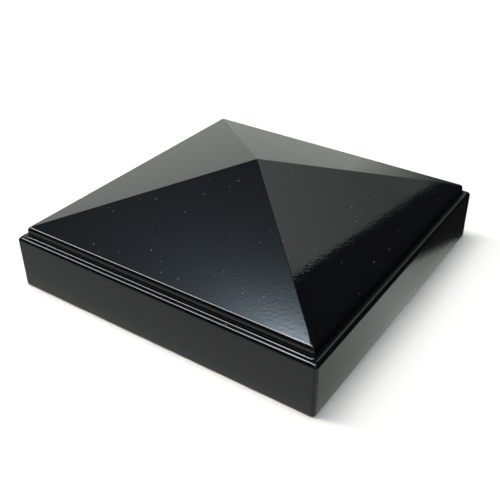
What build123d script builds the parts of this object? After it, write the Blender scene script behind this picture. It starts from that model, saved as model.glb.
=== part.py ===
from build123d import *
import os
from math import atan2, cos, hypot, tan

# A low-pyramid cap for a square steel fence post, in millimetres.
# +Z is up the post. The origin is the middle of the skirt's lower rim, on the rim's plane.
# The flat sides of the cap are square to X and Y.

os.makedirs("parts", exist_ok=True)

# The square tube that the cap fits
post_width = 101.6
post_wall = 4.76
post_corner_radius = 10.7

# The skirt that hangs round the top of the post
post_gap = 5.65
skirt_wall = 2.8
skirt_height = 19.5
skirt_corner_radius = 1.5
skirt_inside_radius = 0.8
rim_edge_radius = 0.5
ledge_edge_radius = 1.25
flange_thickness = 3.0
screw_web = 4.7

# The crown that stands on the skirt
ledge_width = 2.6
tier_height = 3.2
tier_lean = 0.1
tier_corner_radius = 1.2
crown_wall = 2.5
roof_rise = 18.6
roof_edge_radius = 1.1
apex_width = 0.8
apex_corner_radius = 0.3
cavity_corner_radius = 0.6
boss_wall = 2.5

# The lip and the seal between the crown and the skirt
lip_width = 1.5
lip_height = 1.2
lip_clearance = 0.2
seal_width = 1.3
seal_thickness = 0.8
seal_clearance = 0.1

# The moulded insert that goes down inside the tube
spigot_gap = 1.4
spigot_wall = 3.0
spigot_inside_radius = 2.0
spigot_floor_clearance = 2.0
plate_thickness = 3.0

# The rubber that the post's end and the tube's inside bear on
pad_thickness = 2.0
pad_margin = 1.2
pad_clearance = 0.3
grip_base = 1.8
grip_pocket = 1.0
grip_pocket_clearance = 0.15
grip_end_margin = 6.0
grip_edge_margin = 1.6
grip_below_seat = 2.4
grip_squeeze = 0.2
fin_count = 3
fin_root = 1.5
fin_tip = 0.5

# The screws and washers that hold the crown, the skirt and the insert together
screw_diameter = 5.0
screw_length = 12.0
screw_head_radius = 4.6
screw_head_height = 2.8
screw_head_round = 1.2
socket_across_flats = 3.0
socket_depth = 1.6
hole_clearance = 0.5
screw_tip_clearance = 0.6
washer_radius = 5.0
washer_thickness = 1.0
washer_clearance = 0.3
washer_edge_gap = 1.6

# Half widths, from the tube outwards
tube_inside_half = post_width / 2 - post_wall
skirt_inside_half = post_width / 2 + post_gap
skirt_half = skirt_inside_half + skirt_wall
tier_foot_half = skirt_half - ledge_width
tier_top_half = tier_foot_half - tier_lean
cavity_half = tier_top_half - crown_wall
lip_outer_half = cavity_half - lip_clearance
lip_inner_half = lip_outer_half - lip_width
seal_middle_half = (cavity_half + tier_foot_half) / 2
groove_outer_half = seal_middle_half + seal_width / 2 + seal_clearance
groove_inner_half = seal_middle_half - seal_width / 2 - seal_clearance

# Heights, from the rim upwards
skirt_top = skirt_height
flange_under = skirt_top - flange_thickness
seat_height = flange_under - pad_thickness
tier_top = skirt_top + tier_height
apex_height = tier_top + roof_rise
plate_under = flange_under - plate_thickness
washer_under = plate_under - washer_thickness
screw_tip = washer_under + screw_length

# The roof's slope, and the hollow parallel to it
roof_slope = atan2(roof_rise, tier_top_half)
roof_drop = crown_wall / cos(roof_slope)
cavity_eaves = tier_top + crown_wall * tan(roof_slope) - roof_drop
cavity_apex = apex_height - roof_drop

# The insert inside the tube
spigot_half = tube_inside_half - spigot_gap
spigot_corner_radius = post_corner_radius - post_wall - spigot_gap
spigot_inner_half = spigot_half - spigot_wall
screw_offset = spigot_inner_half - washer_radius - washer_edge_gap
screw_hole_radius = (screw_diameter + hole_clearance) / 2
flange_bore_radius = hypot(screw_offset, screw_offset) - screw_hole_radius - screw_web
grip_length = 2 * (spigot_half - spigot_corner_radius - grip_end_margin)
grip_bottom = spigot_floor_clearance + grip_edge_margin
grip_top = seat_height - grip_below_seat
grip_height = grip_top - grip_bottom
fin_pitch = grip_height / fin_count

screw_places = [
    (screw_offset, screw_offset),
    (-screw_offset, screw_offset),
    (-screw_offset, -screw_offset),
    (screw_offset, -screw_offset),
]
side_angles = {"right": 0, "back": 90, "left": 180, "front": 270}


# The upright plane through the post's middle that faces along a side, its x outwards
def side_plane(angle):
    outwards = Vector(1, 0, 0).rotate(Axis.Z, angle)
    across = Vector(0, -1, 0).rotate(Axis.Z, angle)
    return Plane(origin=(0, 0, 0), x_dir=outwards, z_dir=across)


# The hollow under the roof, with the four screw bosses left standing in it
with BuildPart() as cavity:
    with BuildSketch(Plane.XY.offset(skirt_top)):
        RectangleRounded(2 * cavity_half, 2 * cavity_half, cavity_corner_radius)
    extrude(amount=cavity_eaves - skirt_top)
    with BuildSketch(Plane.XY.offset(cavity_eaves)):
        RectangleRounded(2 * cavity_half, 2 * cavity_half, cavity_corner_radius)
    with BuildSketch(Plane.XY.offset(cavity_apex)):
        RectangleRounded(apex_width, apex_width, apex_corner_radius)
    loft(ruled=True)
    with BuildSketch(Plane.XY.offset(skirt_top)):
        with Locations(*screw_places):
            Circle(screw_diameter / 2 + boss_wall)
    extrude(amount=apex_height - skirt_top, mode=Mode.SUBTRACT)


# The die-cast crown: a short leaning wall with the four-sided roof on it
with BuildPart() as crown:
    with BuildSketch(Plane.XY.offset(skirt_top)):
        RectangleRounded(2 * tier_foot_half, 2 * tier_foot_half, tier_corner_radius)
    with BuildSketch(Plane.XY.offset(tier_top)):
        RectangleRounded(2 * tier_top_half, 2 * tier_top_half, tier_corner_radius)
    loft(ruled=True)
    with BuildSketch(Plane.XY.offset(tier_top)):
        RectangleRounded(2 * tier_top_half, 2 * tier_top_half, tier_corner_radius)
    with BuildSketch(Plane.XY.offset(apex_height)):
        RectangleRounded(apex_width, apex_width, apex_corner_radius)
    loft(ruled=True)
    eaves = crown.edges().filter_by_position(Axis.Z, tier_top - 0.01, tier_top + 0.01)
    fillet(eaves, roof_edge_radius)
    add(cavity.part, mode=Mode.SUBTRACT)
    with BuildSketch(Plane.XY.offset(skirt_top)):
        with Locations(*screw_places):
            Circle(screw_diameter / 2)
    extrude(amount=screw_tip + screw_tip_clearance - skirt_top, mode=Mode.SUBTRACT)
crown.part.label = "crown"
export_step(crown.part, "parts/crown.step")


# The die-cast skirt: four walls round the post and a flange across their top
with BuildPart() as skirt:
    with BuildSketch():
        RectangleRounded(2 * skirt_half, 2 * skirt_half, skirt_corner_radius)
    extrude(amount=skirt_height)
    rim_edges = skirt.faces().sort_by(Axis.Z)[0].edges()
    ledge_edges = skirt.faces().sort_by(Axis.Z)[-1].edges()
    fillet(rim_edges, rim_edge_radius)
    fillet(ledge_edges, ledge_edge_radius)
    with BuildSketch():
        RectangleRounded(2 * skirt_inside_half, 2 * skirt_inside_half, skirt_inside_radius)
    extrude(amount=flange_under, mode=Mode.SUBTRACT)
    with BuildSketch(Plane.XY.offset(skirt_top)):
        RectangleRounded(2 * lip_outer_half, 2 * lip_outer_half, cavity_corner_radius)
        Rectangle(2 * lip_inner_half, 2 * lip_inner_half, mode=Mode.SUBTRACT)
    extrude(amount=lip_height)
    with BuildSketch(Plane.XY.offset(skirt_top - seal_thickness)):
        RectangleRounded(2 * groove_outer_half, 2 * groove_outer_half, tier_corner_radius)
        Rectangle(2 * groove_inner_half, 2 * groove_inner_half, mode=Mode.SUBTRACT)
    extrude(amount=seal_thickness, mode=Mode.SUBTRACT)
    with BuildSketch(Plane.XY.offset(flange_under)):
        Circle(flange_bore_radius)
        with Locations(*screw_places):
            Circle(screw_hole_radius)
    extrude(amount=flange_thickness, mode=Mode.SUBTRACT)
skirt.part.label = "skirt"
export_step(skirt.part, "parts/skirt.step")


# The rubber ring that lies in the skirt's groove under the crown's foot
with BuildPart() as crown_seal:
    with BuildSketch(Plane.XY.offset(skirt_top - seal_thickness)):
        seal_outer_half = groove_outer_half - seal_clearance
        seal_inner_half = groove_inner_half + seal_clearance
        RectangleRounded(2 * seal_outer_half, 2 * seal_outer_half, tier_corner_radius)
        Rectangle(2 * seal_inner_half, 2 * seal_inner_half, mode=Mode.SUBTRACT)
    extrude(amount=seal_thickness)
crown_seal.part.label = "crown_seal"
export_step(crown_seal.part, "parts/crown_seal.step")


# The rubber ring under the flange that the sawn end of the post bears on
with BuildPart() as seat_pad:
    with BuildSketch(Plane.XY.offset(seat_height)):
        pad_outer_half = post_width / 2 + pad_margin
        pad_inner_half = spigot_half + pad_clearance
        RectangleRounded(2 * pad_outer_half, 2 * pad_outer_half, post_corner_radius + pad_margin)
        pad_inner_radius = spigot_corner_radius + pad_clearance
        RectangleRounded(
            2 * pad_inner_half, 2 * pad_inner_half, pad_inner_radius, mode=Mode.SUBTRACT
        )
    extrude(amount=pad_thickness)
seat_pad.part.label = "seat_pad"
export_step(seat_pad.part, "parts/seat_pad.step")


# The moulded insert: a plate under the flange and a square spigot that enters the tube
with BuildPart() as post_insert:
    with BuildSketch(Plane.XY.offset(spigot_floor_clearance)):
        RectangleRounded(2 * spigot_half, 2 * spigot_half, spigot_corner_radius)
    extrude(amount=flange_under - spigot_floor_clearance)
    with BuildSketch(Plane.XY.offset(spigot_floor_clearance)):
        RectangleRounded(2 * spigot_inner_half, 2 * spigot_inner_half, spigot_inside_radius)
    extrude(amount=plate_under - spigot_floor_clearance, mode=Mode.SUBTRACT)
    with BuildSketch(Plane.XY.offset(plate_under)):
        with Locations(*screw_places):
            Circle(screw_hole_radius)
    extrude(amount=plate_thickness, mode=Mode.SUBTRACT)
    for angle in side_angles.values():
        with BuildSketch(side_plane(angle)):
            with Locations((spigot_half - grip_pocket / 2, (grip_bottom + grip_top) / 2)):
                Rectangle(grip_pocket, grip_height + 2 * grip_pocket_clearance)
        extrude(amount=grip_length / 2 + grip_pocket_clearance, both=True, mode=Mode.SUBTRACT)
post_insert.part.label = "post_insert"
export_step(post_insert.part, "parts/post_insert.step")


# A strip of soft fins in a side of the spigot, which grips the inside of the tube
def make_grip_strip(side, angle):
    floor = spigot_half - grip_pocket
    face = floor + grip_base
    tip = tube_inside_half + grip_squeeze
    with BuildPart() as strip:
        with BuildSketch(side_plane(angle)):
            with Locations(((floor + face) / 2, (grip_bottom + grip_top) / 2)):
                Rectangle(grip_base, grip_height)
            for number in range(fin_count):
                middle = grip_bottom + (number + 0.5) * fin_pitch
                with BuildLine():
                    Polyline(
                        (face, middle - fin_root / 2),
                        (tip, middle - fin_tip / 2),
                        (tip, middle + fin_tip / 2),
                        (face, middle + fin_root / 2),
                        close=True,
                    )
                make_face()
        extrude(amount=grip_length / 2, both=True)
    strip.part.label = "grip_strip_" + side
    export_step(strip.part, "parts/" + strip.part.label + ".step")


# A plain steel washer under a screw head
def make_washer(number, place):
    with BuildPart() as washer:
        with BuildSketch(Plane.XY.offset(washer_under)):
            with Locations(place):
                Circle(washer_radius)
                Circle((screw_diameter + washer_clearance) / 2, mode=Mode.SUBTRACT)
        extrude(amount=washer_thickness)
    washer.part.label = "washer_" + str(number)
    export_step(washer.part, "parts/" + washer.part.label + ".step")


# A button-head socket screw, head down, threaded into a boss of the crown
def make_screw(number, place):
    head_under = washer_under - screw_head_height
    with BuildPart() as screw:
        with BuildSketch(Plane.XY.offset(head_under)):
            with Locations(place):
                Circle(screw_head_radius)
        extrude(amount=screw_head_height)
        fillet(screw.faces().sort_by(Axis.Z)[0].edges(), screw_head_round)
        with BuildSketch(Plane.XY.offset(washer_under)):
            with Locations(place):
                Circle(screw_diameter / 2)
        extrude(amount=screw_length)
        with BuildSketch(Plane.XY.offset(head_under)):
            with Locations(place):
                RegularPolygon(socket_across_flats / 2, 6, major_radius=False)
        extrude(amount=socket_depth, mode=Mode.SUBTRACT)
    screw.part.label = "insert_screw_" + str(number)
    export_step(screw.part, "parts/" + screw.part.label + ".step")


for side, angle in side_angles.items():
    make_grip_strip(side, angle)

for number, place in enumerate(screw_places, start=1):
    make_washer(number, place)
    make_screw(number, place)
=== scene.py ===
from math import cos, radians, sin

import bmesh
import bpy
import numpy as np
from mathutils import Matrix, Vector


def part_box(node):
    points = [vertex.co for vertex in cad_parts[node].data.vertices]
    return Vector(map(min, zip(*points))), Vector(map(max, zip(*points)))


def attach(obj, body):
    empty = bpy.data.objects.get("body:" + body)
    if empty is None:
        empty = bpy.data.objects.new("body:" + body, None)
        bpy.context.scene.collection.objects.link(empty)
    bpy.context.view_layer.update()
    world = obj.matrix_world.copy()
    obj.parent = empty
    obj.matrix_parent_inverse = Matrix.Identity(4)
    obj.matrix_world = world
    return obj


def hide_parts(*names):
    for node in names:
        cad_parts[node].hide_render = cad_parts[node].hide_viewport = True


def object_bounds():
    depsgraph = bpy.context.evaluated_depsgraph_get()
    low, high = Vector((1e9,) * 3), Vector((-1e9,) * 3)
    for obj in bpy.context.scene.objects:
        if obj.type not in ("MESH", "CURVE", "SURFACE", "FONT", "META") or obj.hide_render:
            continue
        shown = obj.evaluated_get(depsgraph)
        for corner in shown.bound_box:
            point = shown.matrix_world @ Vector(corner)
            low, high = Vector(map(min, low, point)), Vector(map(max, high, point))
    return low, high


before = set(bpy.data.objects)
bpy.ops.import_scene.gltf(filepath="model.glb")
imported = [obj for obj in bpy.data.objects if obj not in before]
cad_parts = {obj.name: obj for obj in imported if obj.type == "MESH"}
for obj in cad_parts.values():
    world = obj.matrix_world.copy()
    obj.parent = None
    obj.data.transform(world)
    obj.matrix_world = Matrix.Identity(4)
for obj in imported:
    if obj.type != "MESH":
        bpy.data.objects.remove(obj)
cad_low, cad_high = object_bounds()
mm = 0.001


# ---------------------------------------------------------------- crown
# The upper casting: a four-sided roof with crisp ridges and a rounded eave, on a short upright wall
# that sweeps out in a small cove where it meets the ledge. It is die-cast aluminium, hollow below,
# with four round bosses inside that the screws go up into, and it is powder coated gloss black.
crown_low, crown_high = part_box("crown")
joint_z = crown_low[2]
apex_z = crown_high[2]
foot_half = crown_high[0]
tier_height = 3.2 * mm
tier_draft = 0.1 * mm
crown_wall = 2.5 * mm
tier_corner = 0.7 * mm
ridge_radius = 0.2 * mm
ridge_fade = 4.0 * mm
eave_radius = 1.35 * mm
cove_radius = 1.0 * mm
foot_lip = 0.06 * mm
cavity_corner = 0.6 * mm
apex_blunt = 0.05 * mm
boss_radius = 5.0 * mm
screw_radius = 2.5 * mm
boss_sunk = 0.5 * mm
boss_cap = 1.2 * mm
screw_offset = 35.04 * mm
edge_guard = 0.12 * mm
small_step = 0.05 * mm
tiny = 0.2 * mm


def column(values):
    """Numbers as a column, one row for each station of a profile."""
    return np.asarray(values, dtype=float)[:, None]


def square_rings(half, radius, height, corner_steps=8):
    """Carries a profile round a square. At a station of the profile the ring is four straight sides
    joined by quarter circles: on a side x = half and y runs between the corners, and in a corner
    x = half - r + r cos(a), y = half - r + r sin(a). The quarter is turned by 0, 90, 180 and 270
    degrees. A point close to each corner's end keeps the shading of the sides flat."""
    half, radius, height = column(half), column(radius), column(height)
    straight = half - radius
    guard = np.minimum(edge_guard, straight / 3)
    along = np.hstack([-straight, guard - straight, 0 * straight, straight - guard])
    turn = np.linspace(0, np.pi / 2, corner_steps + 1)[None, :-1]
    quarter_x = np.hstack([half + 0 * along, half - radius + radius * np.cos(turn)])
    quarter_y = np.hstack([along, half - radius + radius * np.sin(turn)])
    x = np.hstack([quarter_x, -quarter_y, -quarter_x, quarter_y])
    y = np.hstack([quarter_y, quarter_x, -quarter_y, -quarter_x])
    return np.stack([x, y, height + 0 * x], axis=2)


def round_rings(centre, radius, height, steps=36):
    """Carries a profile round an upright axis: x = cx + r cos(a), y = cy + r sin(a)."""
    turn = np.linspace(0, 2 * np.pi, steps, endpoint=False)[None, :]
    radius, height = column(radius), column(height)
    x = centre[0] + radius * np.cos(turn)
    y = centre[1] + radius * np.sin(turn)
    return np.stack([x, y, height + 0 * x], axis=2)


def arc(centre, radius, start, end, steps):
    """An arc of a profile as rows of (across, up): centre + r (cos(a), sin(a)), with a in degrees,
    0 outwards and 90 up."""
    turn = np.radians(np.linspace(start, end, steps))
    return np.stack([centre[0] + radius * np.cos(turn), centre[1] + radius * np.sin(turn)], axis=1)


def ring_faces(rings, first_vertex=0, closed=False, poles=()):
    """Joins each ring of points to the next with four-sided faces. A closed profile joins its last
    ring to its first. An open one is closed at its ends by a point each, the poles."""
    count, around = rings.shape[:2]
    row = np.arange(count if closed else count - 1)[:, None]
    step = np.arange(around)[None, :]
    following, beside = (row + 1) % count, (step + 1) % around
    near, far = row * around, following * around
    corners = (near + step, near + beside, far + beside, far + step)
    faces = (np.stack(corners, axis=2).reshape(-1, 4) + first_vertex).tolist()
    points = [rings.reshape(-1, 3)]
    ring = np.arange(around)
    for pole, start in zip(poles, (0, (count - 1) * around)):
        tip = np.full(around, count * around + len(points) - 1)
        fan = np.stack([tip, start + ring, start + (ring + 1) % around], axis=1)
        faces += (fan + first_vertex).tolist()
        points.append(np.array([pole]))
    return np.vstack(points), faces


def make_piece(name, parts):
    """Puts one or more closed surfaces into one mesh, merges doubled points and faces it outwards."""
    vertices, faces = np.zeros((0, 3)), []
    for rings, options in parts:
        points, more = ring_faces(rings, len(vertices), **options)
        vertices = np.vstack([vertices, points])
        faces += more
    mesh = bpy.data.meshes.new(name)
    mesh.from_pydata(vertices.tolist(), [], faces)
    merged = bmesh.new()
    merged.from_mesh(mesh)
    bmesh.ops.remove_doubles(merged, verts=merged.verts, dist=1e-7)
    bmesh.ops.dissolve_degenerate(merged, edges=merged.edges, dist=1e-8)
    bmesh.ops.recalc_face_normals(merged, faces=merged.faces)
    merged.to_mesh(mesh)
    merged.free()
    piece = bpy.data.objects.new(name, mesh)
    bpy.context.collection.objects.link(piece)
    return piece


def smooth(piece, sharp_degrees=50):
    """Shades a piece smooth, with a hard edge wherever two faces turn by more than an angle."""
    mesh = piece.data
    mesh.polygons.foreach_set("use_smooth", np.ones(len(mesh.polygons), dtype=bool))
    mesh.set_sharp_from_angle(angle=radians(sharp_degrees))


def hand_over(piece, node, material):
    """Gives a piece its material, hangs it under the root body and hides the CAD node that it stands
    for.
    """
    piece.data.materials.append(material)
    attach(piece, "root")
    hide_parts(node)


tier_top_z = joint_z + tier_height
tier_half = foot_half - tier_draft
slope = np.arctan2(apex_z - tier_top_z, tier_half)
lean = np.arctan2(tier_draft, tier_height)
# The eave's arc touches the roof above it and the wall below it
tangent = eave_radius * np.tan((np.pi / 2 - slope - lean) / 2)
eave_centre = (
    tier_half + tangent * np.sin(lean) - eave_radius * np.cos(lean),
    tier_top_z - tangent * np.cos(lean) - eave_radius * np.sin(lean),
)
eave = arc(eave_centre, eave_radius, 90 - np.degrees(slope), np.degrees(lean), 12)
cove_centre = (foot_half + cove_radius, joint_z + foot_lip + cove_radius)
cove = arc(cove_centre, cove_radius, 180, 262, 10)
roof_steps = np.array([0.1, 0.4, 1.0, 1.8, 2.6, 3.4, 4.2, 12, 24, 40]) * mm
tip_halves = np.array([0.3, 0.6, 1.5]) * mm
roof_half = np.concatenate([tip_halves, (eave[0, 0] - roof_steps)[::-1]])
roof_z = tier_top_z + (tier_half - roof_half) * np.tan(slope)
# The ridge is as round as the wall's corner at the eave and crisp a little way up the roof
fade = np.clip((eave[0, 0] - roof_half) / ridge_fade, 0, 1)
ridge = tier_corner + (ridge_radius - tier_corner) * fade * fade * (3 - 2 * fade)
ridge = np.minimum(ridge, 0.9 * roof_half)
wall = np.array([
    [eave[-1, 0], eave[-1, 1] - small_step],
    [foot_half, cove_centre[1] + small_step],
])
foot_edge = np.array([[cove[-1, 0], joint_z]])
outside = np.vstack([eave, wall, cove, foot_edge])
outside_corner = tier_corner + np.maximum(outside[:, 0] - foot_half, 0)
cavity_half = tier_half - crown_wall
cavity_drop = crown_wall / np.cos(slope)
cavity_halves = np.array([30, 12, 1]) * mm
cavity_slope_z = apex_z - cavity_drop - cavity_halves * np.tan(slope)
cavity_eave_z = apex_z - cavity_drop - cavity_half * np.tan(slope)
hollow_half = np.concatenate([[cavity_half] * 3, cavity_halves])
hollow_z = np.concatenate([[joint_z, joint_z + tiny, cavity_eave_z], cavity_slope_z])
shell = square_rings(
    np.concatenate([roof_half, outside[:, 0], hollow_half]),
    np.concatenate([ridge, outside_corner, np.full(len(hollow_half), cavity_corner)]),
    np.concatenate([roof_z, outside[:, 1], hollow_z]),
)
crown_parts = [(shell, {"poles": ((0, 0, apex_z - apex_blunt), (0, 0, apex_z - cavity_drop))})]
boss_top = apex_z - cavity_drop - screw_offset * np.tan(slope) + boss_sunk
bore_top = boss_top - boss_cap
quarters = ((1, 1), (-1, 1), (-1, -1), (1, -1))
screw_places = [(a * screw_offset, b * screw_offset) for a, b in quarters]
for spot in screw_places:
    boss = round_rings(
        spot,
        [boss_radius, boss_radius, screw_radius, screw_radius],
        [boss_top, joint_z, joint_z, bore_top],
    )
    crown_parts.append((boss, {"poles": ((*spot, boss_top), (*spot, bore_top))}))
crown = make_piece("crown_casting", crown_parts)
smooth(crown)


def add_node(material, kind, settings, links=None):
    """Adds one node to a material, sets its own values or its unlinked inputs, and links the rest."""
    node = material.node_tree.nodes.new(kind)
    for key, value in settings.items():
        if isinstance(key, str) and hasattr(node, key):
            setattr(node, key, value)
        else:
            node.inputs[key].default_value = value
    for key, source in (links or {}).items():
        material.node_tree.links.new(source, node.inputs[key])
    return node


def new_material(name):
    """An empty material and its Object coordinates, in metres."""
    material = bpy.data.materials.new(name)
    material.use_nodes = True
    material.node_tree.nodes.clear()
    return material, add_node(material, "ShaderNodeTexCoord", {}).outputs["Object"]


def linear(code):
    """The linear colour of an sRGB hex value."""
    parts = np.array([int(code[i:i + 2], 16) for i in (1, 3, 5)]) / 255
    bright = ((parts + 0.055) / 1.055) ** 2.4
    return (*np.where(parts <= 0.04045, parts / 12.92, bright).tolist(), 1.0)


# Gloss black powder coat: a deep black film with a wet gloss, broken up by a very fine orange peel.
# A few specks of dust, under 0.2 mm in radius, and faint hairlines lie on the faces that look up, and
# the gloss is a touch duller in cloudy patches.
peel_size = 1.1 * mm
wave_size = 7 * mm
dust_spacing = 3.1 * mm
swirl_size = 14 * mm
cloud_size = 9 * mm

coat, place = new_material("gloss_black_powder_coat")
peel = add_node(
    coat, "ShaderNodeTexNoise", {"Scale": 1 / peel_size, "Detail": 1.0, "Roughness": 0.4},
    {"Vector": place},
)
wave = add_node(
    coat, "ShaderNodeTexNoise", {"Scale": 1 / wave_size, "Detail": 0.0},
    {"Vector": place},
)
peel_bump = add_node(
    coat, "ShaderNodeBump", {"Strength": 1.0, "Distance": 0.0075 * mm},
    {"Height": peel.outputs["Fac"]},
)
wave_bump = add_node(
    coat, "ShaderNodeBump", {"Strength": 1.0, "Distance": 0.003 * mm},
    {"Height": wave.outputs["Fac"], "Normal": peel_bump.outputs["Normal"]},
)
dust_cell = add_node(coat, "ShaderNodeTexVoronoi", {"Scale": 1 / dust_spacing}, {"Vector": place})
dust = add_node(
    coat, "ShaderNodeMapRange", {"From Min": 0.03, "From Max": 0.055, "To Min": 0.75, "To Max": 0.0},
    {"Value": dust_cell.outputs["Distance"]},
)
swirl = add_node(
    coat, "ShaderNodeTexNoise", {"Scale": 1 / swirl_size, "Detail": 0.0, "Distortion": 0.6},
    {"Vector": place},
)
swirl_off = add_node(
    coat, "ShaderNodeMath", {"operation": "SUBTRACT", 1: 0.5},
    {0: swirl.outputs["Fac"]},
)
swirl_far = add_node(coat, "ShaderNodeMath", {"operation": "ABSOLUTE"}, {0: swirl_off.outputs[0]})
hairline = add_node(
    coat, "ShaderNodeMapRange",
    {"From Min": 0.0005, "From Max": 0.003, "To Min": 0.025, "To Max": 0.0},
    {"Value": swirl_far.outputs[0]},
)
patch = add_node(
    coat, "ShaderNodeTexNoise", {"Scale": 1 / cloud_size, "Detail": 2.0},
    {"Vector": place},
)
broken = add_node(
    coat, "ShaderNodeMapRange", {"From Min": 0.5, "From Max": 0.62, "To Min": 0.0, "To Max": 1.0},
    {"Value": patch.outputs["Fac"]},
)
scratch = add_node(
    coat, "ShaderNodeMath", {"operation": "MULTIPLY"},
    {0: hairline.outputs[0], 1: broken.outputs[0]},
)
marks = add_node(
    coat, "ShaderNodeMath", {"operation": "MAXIMUM"},
    {0: dust.outputs[0], 1: scratch.outputs[0]},
)
normal = add_node(coat, "ShaderNodeNewGeometry", {}).outputs["Normal"]
facing = add_node(coat, "ShaderNodeSeparateXYZ", {}, {"Vector": normal})
upward = add_node(
    coat, "ShaderNodeMapRange", {"From Min": 0.85, "From Max": 0.93, "To Min": 0.0, "To Max": 1.0},
    {"Value": facing.outputs["Z"]},
)
settled = add_node(
    coat, "ShaderNodeMath", {"operation": "MULTIPLY"},
    {0: marks.outputs[0], 1: upward.outputs[0]},
)
film = add_node(
    coat, "ShaderNodeMix", {"data_type": "RGBA", 6: linear("#070708"), 7: linear("#9a9c9c")},
    {"Factor": settled.outputs[0]},
)
cloud = add_node(
    coat, "ShaderNodeMapRange", {"From Min": 0.35, "From Max": 0.75, "To Min": 0.03, "To Max": 0.06},
    {"Value": patch.outputs["Fac"]},
)
gloss = add_node(
    coat, "ShaderNodeBsdfPrincipled", {"IOR": 1.4},
    {
        "Base Color": film.outputs[2],
        "Roughness": cloud.outputs[0],
        "Normal": wave_bump.outputs["Normal"],
    },
)
add_node(coat, "ShaderNodeOutputMaterial", {}, {"Surface": gloss.outputs[0]})
hand_over(crown, "crown", coat)


# ---------------------------------------------------------------- skirt
# The lower casting: four plain walls that hang round the post, with a flange across their top that
# is bored out in the middle. The flange's outer edge is the ledge round the crown. A low lip centres
# the crown, and a groove holds its seal. It is die-cast aluminium, coated like the crown.
skirt_low, skirt_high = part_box("skirt")
seal_low, seal_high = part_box("crown_seal")
rim_z = skirt_low[2]
skirt_half = skirt_high[0]
skirt_wall = 2.8 * mm
skirt_corner = 1.1 * mm
inside_corner = 0.8 * mm
ledge_edge = 1.25 * mm
rim_edge = 0.45 * mm
flange_thickness = 3.0 * mm
flange_bore = 42.1 * mm
lip_gap = 0.2 * mm
lip_width = 1.5 * mm
groove_gap = 0.1 * mm
groove_width = 1.5 * mm
lip_outer = cavity_half - lip_gap
lip_inner = lip_outer - lip_width
lip_z = skirt_high[2]
groove_outer = seal_high[0] + groove_gap
groove_inner = groove_outer - groove_width
groove_z = seal_low[2]
lip_corner_in, lip_corner_out = 0.3 * mm, 0.6 * mm
groove_corner_in, groove_corner_out = 0.3 * mm, 1.2 * mm
flange_under = joint_z - flange_thickness
inside_half = skirt_half - skirt_wall

ledge_arc = arc((skirt_half - ledge_edge, joint_z - ledge_edge), ledge_edge, 90, 0, 14)
rim_arc = arc((skirt_half - rim_edge, rim_z + rim_edge), rim_edge, 0, -90, 7)
section = np.vstack([
    [[flange_bore, flange_under], [flange_bore, joint_z]],
    [[lip_inner, joint_z], [lip_inner, lip_z], [lip_outer, lip_z], [lip_outer, joint_z]],
    [[groove_inner, joint_z], [groove_inner, groove_z]],
    [[groove_outer, groove_z], [groove_outer, joint_z]],
    [[skirt_half - ledge_edge - small_step, joint_z]],
    ledge_arc,
    [[skirt_half, joint_z - ledge_edge - small_step], [skirt_half, rim_z + rim_edge + small_step]],
    rim_arc,
    [[inside_half + tiny, rim_z], [inside_half, rim_z + tiny], [inside_half, flange_under]],
])
inner_corners = [flange_bore] * 2 + [lip_corner_in] * 2 + [lip_corner_out] * 2
inner_corners += [groove_corner_in] * 2 + [groove_corner_out] * 2
outer_count = 1 + len(ledge_arc) + 2 + len(rim_arc)
corners = np.concatenate([inner_corners, [skirt_corner] * outer_count, [inside_corner] * 3])
skirt_rings = square_rings(section[:, 0], corners, section[:, 1])
skirt = make_piece("skirt_casting", [(skirt_rings, {"closed": True})])


def cut(piece, tools):
    """Cuts closed tools out of a piece and keeps the result as the piece's mesh."""
    for tool in tools:
        change = piece.modifiers.new("cut", "BOOLEAN")
        change.operation, change.solver, change.object = "DIFFERENCE", "EXACT", tool
    bpy.context.view_layer.update()
    shaped = piece.evaluated_get(bpy.context.evaluated_depsgraph_get())
    mesh = bpy.data.meshes.new_from_object(shaped)
    piece.modifiers.clear()
    piece.data = mesh
    for tool in tools:
        bpy.data.objects.remove(tool, do_unlink=True)


screw_hole = 2.75 * mm
drill_past = 1 * mm
drills = []
for spot in screw_places:
    drill_z = [flange_under - drill_past, joint_z + drill_past]
    poles = ((*spot, drill_z[0]), (*spot, drill_z[1]))
    drill_rings = round_rings(spot, [screw_hole] * 2, drill_z)
    drills.append(make_piece("drill", [(drill_rings, {"poles": poles})]))
cut(skirt, drills)
smooth(skirt)
hand_over(skirt, "skirt", coat)


# ---------------------------------------------------------------- seal and seat
# Two rubber rings cut from EPDM sheet: a thin one in the groove under the crown's foot, and a wide
# one under the flange that the sawn end of the post bears on. Their cut edges are slightly eased.
sheet_edge = 0.15 * mm
seat_low, seat_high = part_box("seat_pad")
seat_inner = 44.94 * mm
seat_inner_corner = 4.84 * mm
seat_outer_corner = 11.9 * mm
seal_width = 1.3 * mm
seat_steps = 14
grain_size = 0.5 * mm
bloom_size = 14 * mm

# EPDM sheet is matt and nearly black with a faint grey bloom. Its grain is drawn coarser than life,
# so that it shows.
rubber, place = new_material("black_epdm_sheet")
grain = add_node(
    rubber, "ShaderNodeTexNoise", {"Scale": 1 / grain_size, "Detail": 3.0},
    {"Vector": place},
)
bloom = add_node(
    rubber, "ShaderNodeTexNoise", {"Scale": 1 / bloom_size, "Detail": 2.0},
    {"Vector": place},
)
rubber_colour = add_node(
    rubber, "ShaderNodeMix", {"data_type": "RGBA", 6: linear("#1c1c1d"), 7: linear("#2c2c2c")},
    {"Factor": bloom.outputs["Fac"]},
)
rubber_bump = add_node(
    rubber, "ShaderNodeBump", {"Strength": 0.6, "Distance": 0.05 * mm},
    {"Height": grain.outputs["Fac"]},
)
satin = add_node(
    rubber, "ShaderNodeBsdfPrincipled", {"Roughness": 0.62, "IOR": 1.5},
    {"Base Color": rubber_colour.outputs[2], "Normal": rubber_bump.outputs["Normal"]},
)
add_node(rubber, "ShaderNodeOutputMaterial", {}, {"Surface": satin.outputs[0]})


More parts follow.
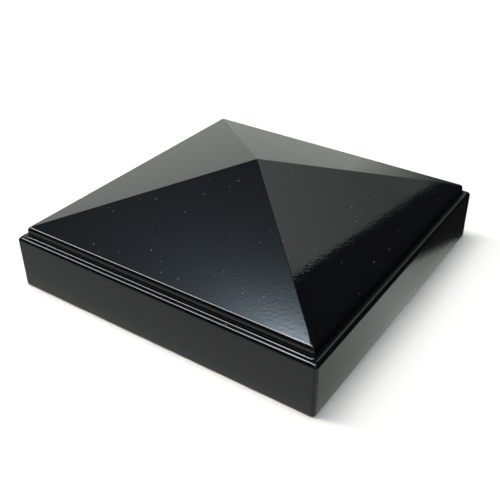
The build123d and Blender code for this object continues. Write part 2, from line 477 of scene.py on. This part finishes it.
def cut_ring(inner, inner_corner, outer, outer_corner, low, high):
    """A flat square ring: a rectangle from inner to outer and low to high, with its edges eased, is
    carried round the square."""
    edge = sheet_edge
    across = [inner, inner, inner + edge, outer - edge, outer, outer, outer - edge, inner + edge]
    up = [low + edge, high - edge, high, high, high - edge, low + edge, low, low]
    corner = [inner_corner] * 3 + [outer_corner] * 4 + [inner_corner]
    return square_rings(across, corner, up, seat_steps)


seat_rings = cut_ring(
    seat_inner, seat_inner_corner, seat_high[0], seat_outer_corner,
    seat_low[2], seat_high[2],
)
seat = make_piece("seat_ring", [(seat_rings, {"closed": True})])
smooth(seat, 40)
hand_over(seat, "seat_pad", rubber)
seal_rings = cut_ring(
    seal_high[0] - seal_width, groove_corner_in, seal_high[0], groove_corner_out,
    seal_low[2], seal_high[2],
)
seal = make_piece("foot_seal", [(seal_rings, {"closed": True})])
smooth(seal, 40)
hand_over(seal, "crown_seal", rubber)


# ---------------------------------------------------------------- insert
# The moulded insert: a plate under the flange with a square spigot that goes down inside the post.
# Black nylon, moulded in a spark-eroded tool, so its skin has a fine even grain, which is drawn
# coarser than life so that it shows.
spark_size = 0.35 * mm
flow_size = 25 * mm

nylon, place = new_material("black_moulded_nylon")
spark = add_node(
    nylon, "ShaderNodeTexNoise", {"Scale": 1 / spark_size, "Detail": 4.0, "Roughness": 0.6},
    {"Vector": place},
)
flow = add_node(
    nylon, "ShaderNodeTexNoise", {"Scale": 1 / flow_size, "Detail": 2.0},
    {"Vector": place},
)
nylon_colour = add_node(
    nylon, "ShaderNodeMix", {"data_type": "RGBA", 6: linear("#1e1f21"), 7: linear("#292a2c")},
    {"Factor": flow.outputs["Fac"]},
)
nylon_rough = add_node(
    nylon, "ShaderNodeMapRange", {"From Min": 0.3, "From Max": 0.7, "To Min": 0.42, "To Max": 0.58},
    {"Value": spark.outputs["Fac"]},
)
nylon_bump = add_node(
    nylon, "ShaderNodeBump", {"Strength": 0.7, "Distance": 0.04 * mm},
    {"Height": spark.outputs["Fac"]},
)
moulded = add_node(
    nylon, "ShaderNodeBsdfPrincipled", {"IOR": 1.53},
    {
        "Base Color": nylon_colour.outputs[2],
        "Roughness": nylon_rough.outputs[0],
        "Normal": nylon_bump.outputs["Normal"],
    },
)
add_node(nylon, "ShaderNodeOutputMaterial", {}, {"Surface": moulded.outputs[0]})


def dress(node, material):
    """Gives a CAD node its finish."""
    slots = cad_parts[node].data.materials
    slots.clear()
    slots.append(material)


dress("post_insert", nylon)


# ---------------------------------------------------------------- grip strips
# Four strips of soft dark grey rubber in the spigot's sides. Each has three tapered fins along it
# that bend against the inside of the post and stop the cap from rattling. They are moulded.
strip_root = 1.5 * mm
strip_tip = 0.5 * mm
strip_base = 1.8 * mm
root_round = 0.35 * mm
fin_count = 3
end_taper = 0.96
end_length = 0.2 * mm
skin_size = 0.6 * mm
tone_size = 10 * mm

# Soft moulded rubber is dull and even in tone. Its grain is drawn coarser than life, so that it shows.
soft, place = new_material("grey_moulded_rubber")
soft_grain = add_node(
    soft, "ShaderNodeTexNoise", {"Scale": 1 / skin_size, "Detail": 3.0},
    {"Vector": place},
)
soft_tone = add_node(
    soft, "ShaderNodeTexNoise", {"Scale": 1 / tone_size, "Detail": 2.0},
    {"Vector": place},
)
soft_colour = add_node(
    soft, "ShaderNodeMix", {"data_type": "RGBA", 6: linear("#4a4b4c"), 7: linear("#5b5c5c")},
    {"Factor": soft_tone.outputs["Fac"]},
)
soft_bump = add_node(
    soft, "ShaderNodeBump", {"Strength": 0.5, "Distance": 0.04 * mm},
    {"Height": soft_grain.outputs["Fac"]},
)
soft_skin = add_node(
    soft, "ShaderNodeBsdfPrincipled", {"Roughness": 0.7, "IOR": 1.5},
    {"Base Color": soft_colour.outputs[2], "Normal": soft_bump.outputs["Normal"]},
)
add_node(soft, "ShaderNodeOutputMaterial", {}, {"Surface": soft_skin.outputs[0]})


def fin_profile(floor, tip, bottom, top):
    """The strip's section as (outwards, up): up the back, then down the face, out along each tapered
    fin and round its tip, with a small slope at its root."""
    face = floor + strip_base
    pitch = (top - bottom) / fin_count
    points = [[floor, bottom], [floor, top], [face, top]]
    for number in reversed(range(fin_count)):
        middle = bottom + (number + 0.5) * pitch
        upper, lower = middle + strip_root / 2, middle - strip_root / 2
        points += [[face, upper + root_round], [face + root_round, upper]]
        points += arc((tip - strip_tip / 2, middle), strip_tip / 2, 90, -90, 6).tolist()
        points += [[face + root_round, lower], [face, lower - root_round]]
    return np.array(points + [[face, bottom]])


def strip_rings(profile, half_length, quarter):
    """Carries the section along the side: x = outwards, y = along, turned by a number of quarters.
    The section is drawn in a little at both ends, as moulded ends are."""
    full = half_length - end_length
    along = np.array([-half_length, -full, full, half_length])
    middle = profile.mean(axis=0)
    inset = np.array([end_taper, 1.0, 1.0, end_taper])[:, None]
    x = middle[0] + (profile[None, :, 0] - middle[0]) * inset
    z = middle[1] + (profile[None, :, 1] - middle[1]) * inset
    y = along[:, None] + 0 * x
    c, s = ((1, 0), (0, 1), (-1, 0), (0, -1))[quarter]
    return np.stack([c * x - s * y, s * x + c * y, z], axis=2)


right_low, right_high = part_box("grip_strip_right")
profile = fin_profile(right_low[0], right_high[0], right_low[2], right_high[2])
for quarter, side in enumerate(("right", "back", "left", "front")):
    rings = strip_rings(profile, right_high[1], quarter)
    mesh = bpy.data.meshes.new("grip_" + side)
    points, faces = ring_faces(rings)
    count, around = rings.shape[:2]
    faces += [list(range(around)), list(range((count - 1) * around, count * around))]
    mesh.from_pydata(points.tolist(), [], faces)
    closed = bmesh.new()
    closed.from_mesh(mesh)
    bmesh.ops.recalc_face_normals(closed, faces=closed.faces)
    closed.to_mesh(mesh)
    closed.free()
    strip = bpy.data.objects.new("grip_" + side, mesh)
    bpy.context.collection.objects.link(strip)
    smooth(strip, 35)
    hand_over(strip, "grip_strip_" + side, soft)


# ---------------------------------------------------------------- screws and washers
# Four button-head socket screws with plain washers go up through the insert and the flange into the
# crown's bosses. They are plain stainless steel with a slightly cloudy gloss and a very
# fine grain, which is drawn coarser than life so that it shows.
steel_grain_size = 0.3 * mm
steel_cloud_size = 2.5 * mm

steel, place = new_material("plain_stainless_steel")
steel_grain = add_node(
    steel, "ShaderNodeTexNoise", {"Scale": 1 / steel_grain_size, "Detail": 3.0},
    {"Vector": place},
)
steel_cloud = add_node(
    steel, "ShaderNodeTexNoise", {"Scale": 1 / steel_cloud_size, "Detail": 3.0},
    {"Vector": place},
)
steel_colour = add_node(
    steel, "ShaderNodeMix", {"data_type": "RGBA", 6: linear("#b4b3b0"), 7: linear("#c9c8c5")},
    {"Factor": steel_cloud.outputs["Fac"]},
)
steel_rough = add_node(
    steel, "ShaderNodeMapRange", {"From Min": 0.3, "From Max": 0.7, "To Min": 0.22, "To Max": 0.4},
    {"Value": steel_cloud.outputs["Fac"]},
)
steel_bump = add_node(
    steel, "ShaderNodeBump", {"Strength": 0.3, "Distance": 0.01 * mm},
    {"Height": steel_grain.outputs["Fac"]},
)
bright = add_node(
    steel, "ShaderNodeBsdfPrincipled", {"Metallic": 1.0},
    {
        "Base Color": steel_colour.outputs[2],
        "Roughness": steel_rough.outputs[0],
        "Normal": steel_bump.outputs["Normal"],
    },
)
add_node(steel, "ShaderNodeOutputMaterial", {}, {"Surface": bright.outputs[0]})
for number in range(1, 5):
    dress(f"insert_screw_{number}", steel)
    dress(f"washer_{number}", steel)


# ---------------------------------------------------------------- floor, cards and world
# The cap stands on a matt pale floor, which is clear from below and fades into the white room. Over
# it hang a softbox and a long strip light. Pale walls and low cards stand for the rest of the studio,
# and only the cap's gloss sees them.
fade_start, fade_end = 0.5, 1.6
floor_gap = 0.1 * mm
floor_outline = [(-3.0, -3.0), (3.0, -3.0), (3.0, 3.0), (-3.0, 3.0)]

floor_material, place = new_material("matt_pale_floor")
matt = add_node(floor_material, "ShaderNodeBsdfDiffuse", {"Color": linear("#cdc8c2")})
clear = add_node(floor_material, "ShaderNodeBsdfTransparent", {})
face = add_node(floor_material, "ShaderNodeNewGeometry", {})
far = add_node(floor_material, "ShaderNodeVectorMath", {"operation": "LENGTH"}, {0: place})
faded = add_node(
    floor_material, "ShaderNodeMapRange",
    {"From Min": fade_start, "From Max": fade_end, "To Min": 0.0, "To Max": 1.0},
    {"Value": far.outputs["Value"]},
)
unseen = add_node(
    floor_material, "ShaderNodeMath", {"operation": "MAXIMUM"},
    {0: face.outputs["Backfacing"], 1: faded.outputs["Result"]},
)
fading = add_node(
    floor_material, "ShaderNodeMixShader", {},
    {0: unseen.outputs[0], 1: matt.outputs[0], 2: clear.outputs[0]},
)
add_node(floor_material, "ShaderNodeOutputMaterial", {}, {"Surface": fading.outputs[0]})


def level(outline, height):
    """Lays an outline flat at a height."""
    return [(x, y, height) for x, y in outline]


def stage_sheet(name, corners, material, hidden_from):
    """A flat piece of the staging, hidden from some kinds of rays."""
    mesh = bpy.data.meshes.new(name)
    mesh.from_pydata(corners, [], [tuple(range(len(corners)))])
    mesh.materials.append(material)
    sheet = bpy.data.objects.new(name, mesh)
    bpy.context.collection.objects.link(sheet)
    for kind in hidden_from:
        setattr(sheet, "visible_" + kind, False)


def glowing(name, colour, strength, slopes=()):
    """A glow whose strength is multiplied by even slopes, each along one axis: a slope goes from
    at_low to at_high as the place on its axis goes from low to high, and is level outside."""
    material, place = new_material(name)
    across = add_node(material, "ShaderNodeSeparateXYZ", {}, {"Vector": place})
    product = add_node(material, "ShaderNodeMath", {"operation": "MULTIPLY", 0: strength, 1: 1.0})
    for axis, low, high, at_low, at_high in slopes:
        slope = add_node(
            material, "ShaderNodeMapRange",
            {"From Min": low, "From Max": high, "To Min": at_low, "To Max": at_high},
            {"Value": across.outputs[axis]},
        )
        product = add_node(
            material, "ShaderNodeMath", {"operation": "MULTIPLY"},
            {0: product.outputs[0], 1: slope.outputs["Result"]},
        )
    glow = add_node(
        material, "ShaderNodeEmission", {"Color": (*colour, 1)},
        {"Strength": product.outputs[0]},
    )
    add_node(material, "ShaderNodeOutputMaterial", {}, {"Surface": glow.outputs[0]})
    return material


stage_sheet("floor", level(floor_outline, cad_low[2] - floor_gap), floor_material, ("glossy",))

# The lights of the softbox, each with its centre, reach, stretch, strength and fade. A light is full
# inside its rectangle, whose half sizes are its reach. Outside it falls as e to the power of minus
# distance over fade, where the distance to the rectangle is stretched along x and y.
main_light = ((-0.45, 0.0), (0.75, 0.4), (0.6, 1.3), 12.0, 0.12)
spill = ((-0.45, 0.0), (0.75, 0.4), (0.6, 1.3), 1.3, 0.6)
core = ((-0.45, -0.1), (0.7, 0.28), (1.0, 1.0), 9.0, 0.05)
strip_light = ((-2.5, -0.65), (1.3, 0.2), (1.0, 1.0), 28.0, 0.06)
weak_fill = ((2.3, -2.3), (1.0, 1.0), (1.0, 1.0), 0.9, 0.8)
dim_tint, bright_tint = (0.8, 1.0, 1.17, 1), (1.0, 1.0, 1.0, 1)

softbox_glow, place = new_material("overhead_softbox")
total = add_node(softbox_glow, "ShaderNodeMath", {"operation": "ADD", 0: 0.0, 1: 0.0})
for centre, reach, stretch, full, fade in (main_light, spill, core, strip_light, weak_fill):
    outside_by = place
    for operation, amounts in (
        ("SUBTRACT", centre),
        ("ABSOLUTE", (0, 0)),
        ("SUBTRACT", reach),
        ("MAXIMUM", (0, 0)),
        ("MULTIPLY", stretch),
    ):
        outside_by = add_node(
            softbox_glow, "ShaderNodeVectorMath", {"operation": operation, 1: (*amounts, 0)},
            {0: outside_by},
        ).outputs["Vector"]
    distance = add_node(
        softbox_glow, "ShaderNodeVectorMath", {"operation": "LENGTH"},
        {0: outside_by},
    )
    fades = add_node(
        softbox_glow, "ShaderNodeMath", {"operation": "DIVIDE", 1: -fade},
        {0: distance.outputs["Value"]},
    )
    falloff = add_node(
        softbox_glow, "ShaderNodeMath", {"operation": "EXPONENT"},
        {0: fades.outputs[0]},
    )
    total = add_node(
        softbox_glow, "ShaderNodeMath", {"operation": "MULTIPLY_ADD", 1: full},
        {0: falloff.outputs[0], 2: total.outputs[0]},
    )
# Their sum is bluish where it is dim and white where it is bright
whiteness = add_node(
    softbox_glow, "ShaderNodeMapRange",
    {"From Min": 6.0, "From Max": 16.0, "To Min": 0.0, "To Max": 1.0},
    {"Value": total.outputs[0]},
)
tint = add_node(
    softbox_glow, "ShaderNodeMix", {"data_type": "RGBA", 6: dim_tint, 7: bright_tint},
    {"Factor": whiteness.outputs["Result"]},
)
box_glow = add_node(
    softbox_glow, "ShaderNodeEmission", {},
    {"Strength": total.outputs[0], "Color": tint.outputs[2]},
)
add_node(softbox_glow, "ShaderNodeOutputMaterial", {}, {"Surface": box_glow.outputs[0]})

pale = (0.98, 1.03, 0.98)
ceiling, ground, wall_foot, wall_seam, wall_top = 3.0, -1.5, -0.62, 1.0, 4.4
back_y, left_x = 3.6, -5.0
gloss_only = ("camera", "diffuse", "shadow")

softbox = [(-4.2, -3.5), (-4.2, 2.4), (3.5, 2.4), (3.5, -3.5)]
stage_sheet("overhead_softbox", level(softbox, ceiling), softbox_glow, ("camera", "shadow"))

# The upper part of the back wall is brighter with height
high_wall = [(-6, back_y, wall_seam), (0.35, back_y, wall_seam)]
high_wall += [(0.03, back_y, wall_top), (-6, back_y, wall_top)]
high_wall_glow = glowing("high_back_wall", pale, 1.0, [("Z", 2.6, 3.5, 0.6, 1.2)])
stage_sheet("high_back_wall", high_wall, high_wall_glow, gloss_only)

# The lower part is brightest to the left and dark at its right-hand end
low_wall = [(-6, back_y, wall_foot), (-0.8, back_y, wall_foot)]
low_wall += [(-0.8, back_y, wall_seam), (-6, back_y, wall_seam)]
low_wall_slopes = [("X", -2.7, -2.2, 0.68, 0.57), ("X", -1.5, -1.0, 1.0, 0.15)]
low_wall_glow = glowing("low_back_wall", pale, 1.0, low_wall_slopes)
stage_sheet("low_back_wall", low_wall, low_wall_glow, gloss_only)

left_wall = [(left_x, 0.5, wall_foot), (left_x, back_y, wall_foot)]
left_wall += [(left_x, back_y, ceiling), (left_x, 0.5, ceiling)]
stage_sheet("left_wall", left_wall, glowing("left_wall", pale, 0.68), gloss_only)

# The ground in front gets brighter from left to right, then a little dimmer, and is brightest along
# its edge by the cap
front_ground = [(-8, -8), (8, -8), (8, 0.9), (-0.4, 0.9), (-0.4, -1.15), (-8, -1.15)]
front_slopes = [("X", -2.0, -0.6, 0.6, 0.8), ("X", -0.5, 0.1, 1.0, 0.8)]
front_slopes += [("Y", -1.4, -1.335, 1.0, 1.25)]
front_glow = glowing("front_ground", pale, 1.0, front_slopes)
stage_sheet("front_ground", level(front_ground, ground), front_glow, gloss_only)

# The ground on the right is brightest in the middle of its length, and dimmer along its outer edge
right_ground = [(0.4, 0.9), (0.86, 0.9), (0.86, 2.08), (0.4, 3.34)]
right_slopes = [("Y", 1.35, 1.85, 0.5, 0.8), ("Y", 1.9, 2.4, 1.0, 0.62)]
right_slopes += [("X", 0.73, 0.76, 1.35, 1.0)]
right_glow = glowing("right_ground", pale, 1.0, right_slopes)
stage_sheet("right_ground", level(right_ground, ground), right_glow, gloss_only)

rear_ground = [(-8, -1.15), (-0.4, -1.15), (-0.4, 0.9), (0.4, 0.9)]
rear_ground += [(0.4, 3.2), (-1.5, 3.2), (-1.5, 2.4), (-8, 2.4)]
rear_glow = glowing("rear_ground", pale, 0.6)
stage_sheet("rear_ground", level(rear_ground, ground), rear_glow, gloss_only)

# The room itself is white to look at, soft light for matt surfaces and nearly dark in reflections
soft_light, gloss_light, extra_to_look_at = 0.42, 0.02, 0.6
world = bpy.data.worlds.new("pale_room")
bpy.context.scene.world = world
world.use_nodes = True
world.node_tree.nodes.clear()
rays = add_node(world, "ShaderNodeLightPath", {})
room_light = add_node(
    world, "ShaderNodeMath",
    {"operation": "MULTIPLY_ADD", 1: gloss_light - soft_light, 2: soft_light},
    {0: rays.outputs["Is Glossy Ray"]},
)
room_glow = add_node(
    world, "ShaderNodeMath", {"operation": "MULTIPLY_ADD", 1: extra_to_look_at},
    {0: rays.outputs["Is Camera Ray"], 2: room_light.outputs[0]},
)
room = add_node(
    world, "ShaderNodeBackground", {"Color": (1.0, 1.0, 1.0, 1)},
    {"Strength": room_glow.outputs[0]},
)
add_node(world, "ShaderNodeOutputWorld", {}, {"Surface": room.outputs[0]})


# ---------------------------------------------------------------- camera
# It is a little over a quarter of a metre away and looks down on the corner between front and right.
azimuth, elevation, roll = radians(32.38), radians(33.37), radians(0.74)
distance, aside, above = 278.4 * mm, 6.34 * mm, 2.94 * mm
back = Vector((sin(azimuth) * cos(elevation), -cos(azimuth) * cos(elevation), sin(elevation)))
right = Vector((cos(azimuth), sin(azimuth), 0))
up = back.cross(right)
camera_data = bpy.data.cameras.new("camera")
camera = bpy.data.objects.new("camera", camera_data)
bpy.context.collection.objects.link(camera)
rolled_right = right * cos(roll) + up * sin(roll)
rolled_up = up * cos(roll) - right * sin(roll)
turned = Matrix((rolled_right, rolled_up, back)).transposed()
stand = back * distance + right * aside + up * above
camera.matrix_world = Matrix.Translation(stand) @ turned.to_4x4()
camera_data.sensor_width = 36.0
camera_data.lens = 53.1
camera_data.shift_x = -0.048
camera_data.clip_start = 0.01
bpy.context.scene.camera = camera
bpy.context.scene.view_settings.view_transform = "Standard"
